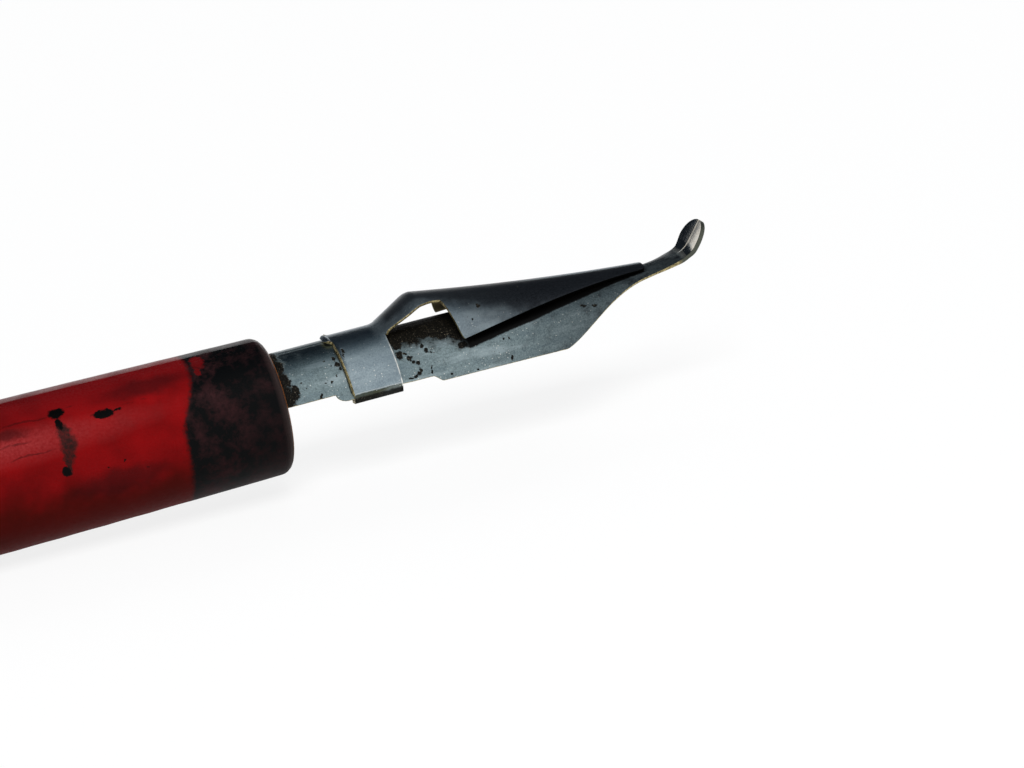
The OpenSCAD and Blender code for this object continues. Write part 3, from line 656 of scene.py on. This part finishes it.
# The reservoir is one blank of spring steel 0.24 mm thick. Its rear is clasped round the shank,
# and a springy arm carries the hood that holds ink against the nib. The hood ends 0.7 mm behind
# the solid's, where the real one does.
res_t, band_drop, band_slope, band_bend, lip_len = 0.24, 0.92, radians(18), 0.22, 0.6
fold, rear_lean, front_lean = radians(81), radians(4.5), radians(2.5)
clasp_r = shank_r + seat_gap
res_top = clasp_r + res_t
fold_z = clasp_r * cos(fold)
arm_at, arm_wide_at, waist_at, crest_at, crest_z = clasp_end - 0.8, 12.2, 14.1, 12.8, 6.195
wing_at, wing_from, wing_to, wing_r, wing_power = 15, 14.5, 15.5, 4.25, 1.33
hood_end, end_corner, crest_round, hood_sag = 32.4, 0.45, 0.2, 0.24
arm_half, arm_wide, waist_half, wing_half, hood_end_half = 1.7, 2.05, 1.525, 5.5, 0.95
root_fillet, root_len, lift_from, lift_over = 0.2, 0.25, 1.35, 1.3
tab_half, tab_len, tab_rise, flare, flare_len = 0.85, 0.65, 0.15, 0.14, 0.35
hood_z = nib_path(hood_end)[1] + seat_gap + res_t
hood_end_r = nib_bend(hood_end) + seat_gap + res_t


def ramp(u, b):
    """A straight ramp from 0 to 1 with a rounded foot and head."""
    if u < b:
        return u * u / (2 * b * (1 - b))
    if u > 1 - b:
        return 1 - (1 - u) ** 2 / (2 * b * (1 - b))
    return (u - b / 2) / (1 - b)


def hood_ridge(x):
    if x < crest_at:
        return mix(res_top, crest_z, ramp(part_of(x, arm_at, crest_at), crest_round))
    u = part_of(x, crest_at, hood_end)
    return mix(crest_z, hood_z, u) - 4 * hood_sag * u * (1 - u)


def hood_half(x):
    """Half the arm's or hood's width, measured round it, with rounded corners at the front end."""
    swell = mix(arm_half, arm_wide, ease(part_of(x, clasp_end, arm_wide_at)))
    arm = mix(swell, waist_half, ease(part_of(x, arm_wide_at, waist_at)))
    wing = mix(hood_end_half, wing_half, (1 - part_of(x, wing_at, hood_end)) ** wing_power)
    rounding = end_corner - sqrt(max(0, end_corner ** 2 - max(0, x - hood_end + end_corner) ** 2))
    return mix(arm, wing, ease(part_of(x, wing_from, wing_to))) - rounding


def clasp_outline():
    """The outer face of the clasp's band and lip below the fold, as (y, z) points round a bend."""
    inward = band_drop * tan(band_slope)
    above = Vector((res_top * sin(fold), res_top * cos(fold)))
    bend = Vector((clasp_r * sin(fold) + res_t - inward, fold_z - band_drop))
    end = Vector((clasp_r * sin(fold) - inward - lip_len, fold_z - band_drop - res_t / 2))
    first = bend + (above - bend).normalized() * band_bend
    last = bend + (end - bend).normalized() * band_bend
    line = [above.lerp(bend, t) for t in (0.15, 0.3, 0.45, 0.6)]
    line += [first * (1 - t) ** 2 + bend * 2 * t * (1 - t) + last * t * t
             for t in (0, 0.25, 0.5, 0.75, 1)]
    return line + [bend.lerp(end, t) for t in (0.5, 0.75, 1)]


# Columns run round the sheet: the tab, the arm, the rest of the arc, then the band and lip.
arc_end = res_top * fold
tab_columns = [tab_half * i / 6 for i in range(7)]
arm_columns = tab_columns + spread(tab_half, arm_half, 6)
arc_columns = arm_columns + spread(arm_half, arc_end, 30)
band_points = clasp_outline()


def clasp_point(column, t):
    """A point of the clasp's outer face: t runs from the rear edge to the front edge."""
    if column < len(arc_columns):
        u = arc_columns[column]
        y, z, on_band = res_top * sin(u / res_top), res_top * cos(u / res_top), 0
    else:
        y, z = band_points[column - len(arc_columns)]
        u, on_band = arc_end, min(1, (column - len(arc_columns) + 1) / 4)
    above_fold = max(0, z - fold_z)
    x = mix(clasp_at - above_fold * tan(rear_lean), clasp_end - above_fold * tan(front_lean), t)
    out = flare * max(0, 1 - (x - clasp_at + above_fold * tan(rear_lean)) / flare_len) ** 2
    out *= ease(part_of(u, tab_half * 0.9, tab_half + 0.9)) * (1 - on_band)
    angle = u / res_top
    lift = (hood_ridge(x) - res_top) * (1 - ease((u - lift_from) / lift_over))
    return Vector((x, y + out * sin(angle), z + out * cos(angle) + lift))


def arm_point(column, x, half, ridge, bend):
    """A point of the arm's or hood's outer face."""
    u = arc_columns[column] * half / arm_half
    return Vector((x, bend * sin(u / bend), ridge + bend * cos(u / bend) - bend))


tab_at = clasp_at - (res_top - fold_z) * tan(rear_lean)
tab_front = [i / 8 for i in range(8)]
# The clasp's rows lie closest over its flared rear edge, where the sheet turns out.
flare_share = 0.5 / 4.2
clasp_rows = [flare_share * (i / 14) ** 1.3 for i in range(15)]
clasp_rows += spread(0.12, 0.8, 12) + spread(0.8, 1, 14)
arm_rows = spread(clasp_end - 0.15, 10.3, 10) + spread(10.3, wing_from, 44)
arm_rows += spread(wing_from, wing_to, 30) + spread(wing_to, hood_end - end_corner, 70)
arm_rows += [hood_end - end_corner * cos(pi / 2 * i / 12) for i in range(1, 12)]
arm_rows.append(hood_end - 0.003)
shape = bmesh.new()
for side in (1, -1):
    grid = []
    for v in tab_front:
        half = tab_half * (0.55 + 0.45 * sin(pi / 2 * min(1, v / 0.45)))
        x, lift = tab_at - tab_len * (1 - v), tab_rise * sin(pi * v)
        turns = [u * half / tab_half / res_top for u in tab_columns]
        grid.append([Vector((x, res_top * sin(a), res_top * cos(a) + lift)) for a in turns])
    for t in clasp_rows:
        grid.append([clasp_point(k, t) for k in range(len(arc_columns) + len(band_points))])
    for x in arm_rows:
        bend = mix(res_top, wing_r, part_of(x, clasp_end, 11))
        if x >= wing_at:
            bend = mix(wing_r, hood_end_r, part_of(x, wing_at, hood_end))
        half = hood_half(x) + root_fillet * max(0, 1 - (x - arm_rows[0]) / root_len) ** 2
        grid.append([arm_point(k, x, half, hood_ridge(x), bend) for k in range(len(arm_columns))])
    rows = [[shape.verts.new(Vector((p.x, p.y * side, p.z))) for p in row] for row in grid]
    for one, two in zip(rows, rows[1:]):
        for k in range(min(len(one), len(two)) - 1):
            face = (one[k], one[k + 1], two[k + 1], two[k])
            shape.faces.new(face if side == -1 else face[::-1])
bmesh.ops.remove_doubles(shape, verts=shape.verts, dist=0.0005)
bmesh.ops.recalc_face_normals(shape, faces=shape.faces)
# All faces point away from the pen, so that the sheet takes its thickness inwards.
if next(f for f in shape.faces if f.calc_center_median().z > res_top - 0.05).normal.z < 0:
    bmesh.ops.reverse_faces(shape, faces=shape.faces)
for face in shape.faces:
    face.smooth = True
blank = bpy.data.meshes.new("reservoir_blank")
shape.to_mesh(blank)
shape.free()
# The slots of the outer face, the cut edges and the inner face are filled further down.
for slot in range(3):
    blank.materials.append(None)
blank_object = bpy.data.objects.new("reservoir_blank", blank)
scene.collection.objects.link(blank_object)
thick = blank_object.modifiers.new("sheet", "SOLIDIFY")
thick.thickness = res_t
thick.offset = -1
thick.use_even_offset = True
thick.use_quality_normals = True
thick.material_offset_rim = 1
thick.material_offset = 2
rims = blank_object.modifiers.new("rims", "BEVEL")
rims.width = 0.045
rims.segments = 2
rims.limit_method = "ANGLE"
rims.angle_limit = radians(55)
rims.use_clamp_overlap = True
finished = blank_object.evaluated_get(bpy.context.evaluated_depsgraph_get())
sheet = bpy.data.meshes.new_from_object(finished)
bpy.data.objects.remove(blank_object)
sheet.name = "reservoir_sheet"
sheet.transform(Matrix.Translation(nose) @ Matrix.Scale(0.001, 4))
sheet.set_sharp_from_angle(angle=radians(45))
reservoir = bpy.data.objects.new("reservoir_sheet", sheet)
scene.collection.objects.link(reservoir)

spring_steel = bpy.data.materials.new("inked_spring_steel")
tree, out = bare(spring_steel)
mm = in_mm(tree)
place = add(tree, "SeparateXYZ", {0: mm})
fine = add(tree, "TexNoise", {"Vector": mm, "Scale": 3.2, "Detail": 6, "Roughness": 0.65})
broad = add(tree, "TexNoise", {"Vector": mm, "Scale": 1.0, "Detail": 5, "Roughness": 0.6})
# The arm and hood carry a black film along their crown, which thins out down the wings: dried ink,
# and a painted dark reflection.
from_ridge = add(tree, "Math", {0: place.outputs["Y"]}, operation="ABSOLUTE")
from_ridge = add(tree, "Math", {0: broad, 1: -1.8, 2: from_ridge}, operation="MULTIPLY_ADD")
reach = add(tree, "MapRange", {"Value": place.outputs["X"], 1: 171, 2: 179, 3: 0.6, 4: 2.6})
past_reach = add(tree, "Math", {0: from_ridge, 1: reach}, operation="SUBTRACT")
most = add(tree, "MapRange", {"Value": place.outputs["X"], 1: 172, 2: 180, 3: 0.94, 4: 0.99})
least = add(tree, "MapRange", {"Value": place.outputs["X"], 1: 172, 2: 174, 3: 0.1, 4: 0.4})
crown_ink_and_dark_reflection = add(tree, "MapRange", {"Value": past_reach, 1: 1.3, 2: -1.1, 3: least, 4: most},
            interpolation_type="SMOOTHSTEP")
on_arm = add(tree, "MapRange", {"Value": place.outputs["X"], 1: 166.6, 2: 168.2, 3: 0, 4: 1})
film = add(tree, "Math", {0: crown_ink_and_dark_reflection, 1: on_arm}, operation="MULTIPLY")
# The film is taken off the crown's far side near the hood's front end, which gives a painted
# highlight along the ridge.
far_side = add(tree, "MapRange", {"Value": place.outputs["Y"], 1: 0.0, 2: 0.3, 3: 0, 4: 1})
painted_ridge_highlight = add(tree, "MapRange", {"Value": place.outputs["X"], 1: 179, 2: 184, 3: 0, 4: 1})
painted_ridge_highlight = add(tree, "Math", {0: painted_ridge_highlight, 1: far_side}, operation="MULTIPLY")
film = add(tree, "Math", {0: film, 1: painted_ridge_highlight}, operation="SUBTRACT", use_clamp=True)
uneven = wavy(tree, mm, 2.2, 0.5)
blots = marks(tree, uneven, [
    ((163.75, -2.1, 3.75), (0.14, 0.35, 0.45)), ((163.65, -2.5, 3.5), (0.1, 0.3, 0.35)),
    ((175.4, -2.45, 4.7), (0.22, 0.3, 0.22)), ((174.5, -3.3, 4.0), (0.12, 0.3, 0.12)),
    ((163.5, -4.1, -0.1), (0.4, 0.6, 0.4)), ((167.6, -3.9, -0.1), (0.25, 0.6, 0.4))])
blots = ragged(tree, blots, fine, 1.2, 1.0, 0.7)
dry = add(tree, "MapRange", {"Value": broad, 1: 0.68, 2: 0.74, 3: 0, 4: 0.8})
dry = add(tree, "Math", {0: dry, 1: on_arm}, operation="MULTIPLY")
crust = add(tree, "Math", {0: blots, 1: dry}, operation="MAXIMUM")
band = add(tree, "Math", {0: fine, 1: 0.3, 2: place.outputs["Z"]}, operation="MULTIPLY_ADD")
caked = add(tree, "MapRange", {"Value": band, 1: 0.5, 2: 0.34, 3: 0, 4: 0.92})
on_clasp = add(tree, "MapRange", {"Value": place.outputs["X"], 1: 167.9, 2: 168, 3: 1, 4: 0})
caked = add(tree, "Math", {0: caked, 1: on_clasp}, operation="MULTIPLY")
crust = add(tree, "Math", {0: crust, 1: caked}, operation="MAXIMUM")
bronzed = add(tree, "MapRange", {"Value": band, 1: 0.78, 2: 0.7, 3: 0, 4: 1})
bronzed = add(tree, "Math", {0: bronzed, 1: on_clasp}, operation="MULTIPLY")
# The clasp's sheared front edge carries a painted highlight.
tall = add(tree, "Math", {0: place.outputs["Z"], 1: 0.64}, operation="SUBTRACT")
tall = add(tree, "Math", {0: tall, 1: 0}, operation="MAXIMUM")
from_front = add(tree, "Math", {0: tall, 1: tan(front_lean), 2: place.outputs["X"]},
                 operation="MULTIPLY_ADD")
painted_highlights = add(tree, "MapRange", {"Value": from_front, 1: 167.58, 2: 167.63, 3: 0, 4: 1})
painted_highlights = add(tree, "Math", {0: painted_highlights, 1: on_clasp}, operation="MULTIPLY")
patchy = add(tree, "MapRange", {"Value": fine, 1: 0.4, 2: 0.55, 3: 0.2, 4: 1})
painted_highlights = add(tree, "Math", {0: painted_highlights, 1: patchy}, operation="MULTIPLY")
below_arm = add(tree, "MapRange", {"Value": place.outputs["Z"], 1: 4.0, 2: 3.6, 3: 0, 4: 1})
painted_highlights = add(tree, "Math", {0: painted_highlights, 1: below_arm}, operation="MULTIPLY")
light = blend(tree, bronzed, "#9aa9b0", "#4e5142")
dark = blend(tree, bronzed, "#7e8c94", "#3b3d31")
# A thin line along the clasp's fold is a painted highlight too.
fold_highlight = add(tree, "Math", {0: place.outputs["Z"], 1: 0.66, 2: 0.035}, operation="COMPARE")
fold_highlight = add(tree, "Math", {0: fold_highlight, 1: on_clasp}, operation="MULTIPLY")
painted_highlights = add(tree, "Math", {0: fold_highlight, 1: 0.25, 2: painted_highlights}, operation="MULTIPLY_ADD")
light, dark = blend(tree, painted_highlights, light, "#f4f4ee"), blend(tree, painted_highlights, dark, "#f4f4ee")
shader = stained_steel(tree, mm, light, dark, film, crust, 0, 0.2, dry)
tree.links.new(shader.outputs[0], out.inputs["Surface"])

# The inside of the hood is coated with dried brown ink.
brown_inside = bpy.data.materials.new("ink_browned_steel")
tree, out = bare(brown_inside)
mm = in_mm(tree)
cloud = add(tree, "TexNoise", {"Vector": mm, "Scale": 2, "Detail": 5})
tone = blend(tree, cloud, "#6a5b40", "#b09a70")
shader = skin(tree, tone, 0.4, cloud, 0.3, Metallic=0.85)
tree.links.new(shader.outputs[0], out.inputs["Surface"])
inked_and_shaded_edge = cut_edge("inked_and_shaded_cut_edge", 174.7, "#070707")
for slot, material in enumerate((spring_steel, inked_and_shaded_edge, brown_inside)):
    sheet.materials[slot] = material
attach(reservoir, "writing_end")
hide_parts("ink_reservoir")
